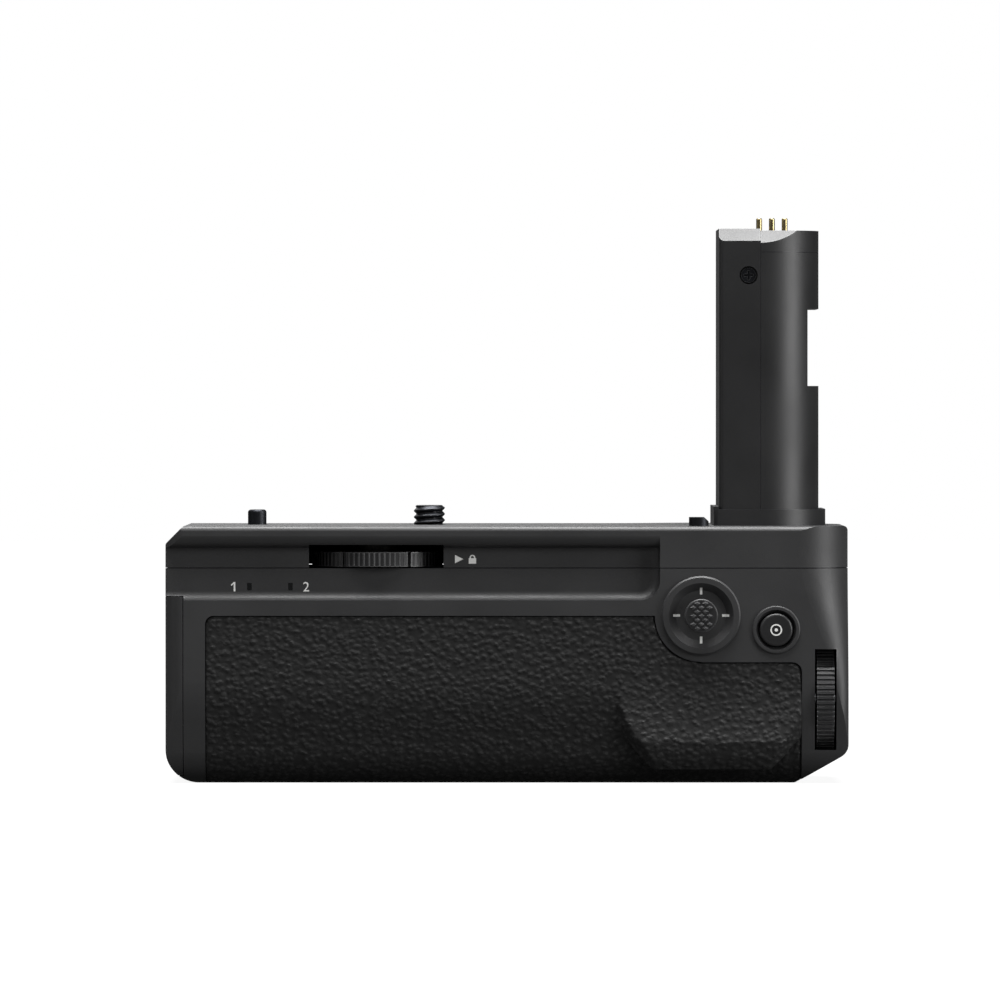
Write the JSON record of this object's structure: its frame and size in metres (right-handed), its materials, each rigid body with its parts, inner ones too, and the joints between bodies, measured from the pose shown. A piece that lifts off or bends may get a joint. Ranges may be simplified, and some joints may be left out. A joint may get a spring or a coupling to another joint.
{
  "type": "camera battery grip",
  "caption": "Vertical battery grip for a camera: bay casing with a door, battery-shaped stem, attachment wheel and screw, joystick, dials and shutter button.",
  "frame": {"origin": "mouth of the tripod socket, on the middle of the bottom face", "axes": "+X towards the hand-grip end, -Y out of the rear face with the joystick, +Z out of the deck that meets the camera"},
  "size_m": [0.1386, 0.0733, 0.1148],
  "materials": {
    "body_plastic": "fine textured, matte black",
    "chamber_plastic": "moulded, plain",
    "stem_plastic": "fine textured, matte black",
    "skin_rubber": "moulded pebble grain",
    "seal_rubber": "soft, plain",
    "control_plastic": "moulded, ridged grips",
    "gloss_plastic": "polished",
    "grey_plastic": "moulded",
    "dark_steel": "blackened, turned",
    "bright_steel": "turned",
    "gear_brass": "cut",
    "gold_contact": "gold plated",
    "plate_metal": "pressed and painted black",
    "circuit_board": "coated board",
    "lamp_lens": "clear moulded"
  },
  "bodies": {
    "root": {"top_cover": "body_plastic", "rear_cover": "body_plastic", "front_cover": "body_plastic", "bottom_plate": "plate_metal", "rear_skin": "skin_rubber", "front_skin": "skin_rubber", "case_screws": "dark_steel", "tripod_socket": "bright_steel", "battery_chamber": "chamber_plastic", "battery_contacts": "gold_contact", "contact_board": "circuit_board", "latch_pins": "bright_steel", "door_hinge_pin": "bright_steel", "wheel_axle": "bright_steel", "gear_plate": "plate_metal", "screw_bush": "dark_steel", "locating_pin": "dark_steel", "guide_stud": "dark_steel", "stem_shell": "stem_plastic", "stem_cover": "stem_plastic", "stem_cap": "stem_plastic", "stem_collar": "stem_plastic", "stem_screw": "dark_steel", "stem_board": "circuit_board", "contact_block": "chamber_plastic", "control_board": "circuit_board", "main_board": "circuit_board", "end_board": "circuit_board", "lamp_lenses": "lamp_lens", "joystick_bezel": "body_plastic", "joystick_base": "chamber_plastic", "shutter_bezel": "body_plastic", "shutter_switch": "chamber_plastic", "rear_dial_axle": "bright_steel", "front_dial_axle": "bright_steel"},
    "door": {"battery_door": "body_plastic", "door_seal": "seal_rubber"},
    "latch": {"door_latch": "control_plastic"},
    "rear_battery_lever": {"battery_latch_rear": "grey_plastic"},
    "front_battery_lever": {"battery_latch_front": "grey_plastic"},
    "wheel": {"attachment_wheel": "control_plastic", "wheel_gear": "gear_brass"},
    "camera_screw": {"attachment_screw": "dark_steel", "screw_gear": "gear_brass"},
    "stick_yoke": {"joystick_yoke": "bright_steel"},
    "stick_shaft": {"joystick_shaft": "bright_steel"},
    "stick_cap": {"joystick_cap": "control_plastic"},
    "focus_key": {"focus_button": "control_plastic"},
    "rear_dial_body": {"rear_dial": "control_plastic"},
    "front_dial_body": {"front_dial": "control_plastic"},
    "shutter_key": {"shutter_button": "gloss_plastic"},
    "lock": {"lock_ring": "control_plastic"},
    "lower_end_key": {"end_button_lower": "control_plastic"},
    "upper_end_key": {"end_button_upper": "control_plastic"},
    "pin_one": {"contact_pin_1": "gold_contact"},
    "pin_two": {"contact_pin_2": "gold_contact"},
    "pin_three": {"contact_pin_3": "gold_contact"}
  },
  "joints": [
    {"name": "door_hinge", "type": "hinge", "parent": "root", "child": "door", "pos_m": [-0.0679, 0.0249, 0.021], "axis": [0, 0, 1], "range_deg": [-95, 0]},
    {"name": "door_latch_slide", "type": "slide", "parent": "door", "child": "latch", "axis": [0, 1, 0], "range_m": [0, 0.0015], "stiffness_N_per_m": 300},
    {"name": "rear_battery_lever_turn", "type": "hinge", "parent": "root", "child": "rear_battery_lever", "pos_m": [-0.0662, 0.0004, 0.011], "axis": [1, 0, 0], "range_deg": [-90, 0]},
    {"name": "front_battery_lever_turn", "type": "hinge", "parent": "root", "child": "front_battery_lever", "pos_m": [-0.0662, 0.0004, 0.033], "axis": [1, 0, 0], "range_deg": [-90, 0]},
    {"name": "wheel_turn", "type": "hinge", "parent": "root", "child": "wheel", "pos_m": [-0.0264, -0.01702, 0.04395], "axis": [0, 0, 1], "continuous": true},
    {"name": "screw_turn", "type": "hinge", "parent": "root", "child": "camera_screw", "pos_m": [-0.0159, 0, 0.0486], "axis": [0, 0, 1], "continuous": true},
    {"name": "stick_tilt_up_down", "type": "hinge", "parent": "root", "child": "stick_yoke", "pos_m": [0.0393, -0.0245, 0.0341], "axis": [1, 0, 0], "range_deg": [-7, 7], "stiffness_Nm_per_rad": 0.03},
    {"name": "stick_tilt_left_right", "type": "hinge", "parent": "stick_yoke", "child": "stick_shaft", "pos_m": [0.0393, -0.0245, 0.0341], "axis": [0, 0, 1], "range_deg": [-7, 7], "stiffness_Nm_per_rad": 0.03},
    {"name": "stick_press", "type": "slide", "parent": "stick_shaft", "child": "stick_cap", "axis": [0, 1, 0], "range_m": [0, 0.0005], "stiffness_N_per_m": 1500},
    {"name": "focus_press", "type": "slide", "parent": "root", "child": "focus_key", "axis": [0, 1, 0], "range_m": [0, 0.0006], "stiffness_N_per_m": 1500},
    {"name": "rear_dial_turn", "type": "hinge", "parent": "root", "child": "rear_dial_body", "pos_m": [0.0628, -0.0206, 0.01705], "axis": [1, 0, 0], "continuous": true},
    {"name": "front_dial_turn", "type": "hinge", "parent": "root", "child": "front_dial_body", "pos_m": [0.0416, 0.0299, 0.027], "axis": [1, 0, 0], "continuous": true},
    {"name": "shutter_press", "type": "slide", "parent": "root", "child": "shutter_key", "axis": [-0.766, -0.6428, 0], "range_m": [0, 0.0015], "stiffness_N_per_m": 600},
    {"name": "lock_ring_turn", "type": "hinge", "parent": "root", "child": "lock", "pos_m": [0.05958, 0.02552, 0.027], "axis": [0.766, 0.6428, 0], "range_deg": [0, 40]},
    {"name": "lower_end_press", "type": "slide", "parent": "root", "child": "lower_end_key", "axis": [-1, 0, 0], "range_m": [0, 0.0005], "stiffness_N_per_m": 1500},
    {"name": "upper_end_press", "type": "slide", "parent": "root", "child": "upper_end_key", "axis": [-1, 0, 0], "range_m": [0, 0.0005], "stiffness_N_per_m": 1500},
    {"name": "pin_one_press", "type": "slide", "parent": "root", "child": "pin_one", "axis": [0, 0, -1], "range_m": [0, 0.001], "stiffness_N_per_m": 500},
    {"name": "pin_two_press", "type": "slide", "parent": "root", "child": "pin_two", "axis": [0, 0, -1], "range_m": [0, 0.001], "stiffness_N_per_m": 500},
    {"name": "pin_three_press", "type": "slide", "parent": "root", "child": "pin_three", "axis": [0, 0, -1], "range_m": [0, 0.001], "stiffness_N_per_m": 500}
  ],
  "couplings": [
    {"joint": "screw_turn", "follows": "wheel_turn", "ratio": -1.1739}
  ]
}
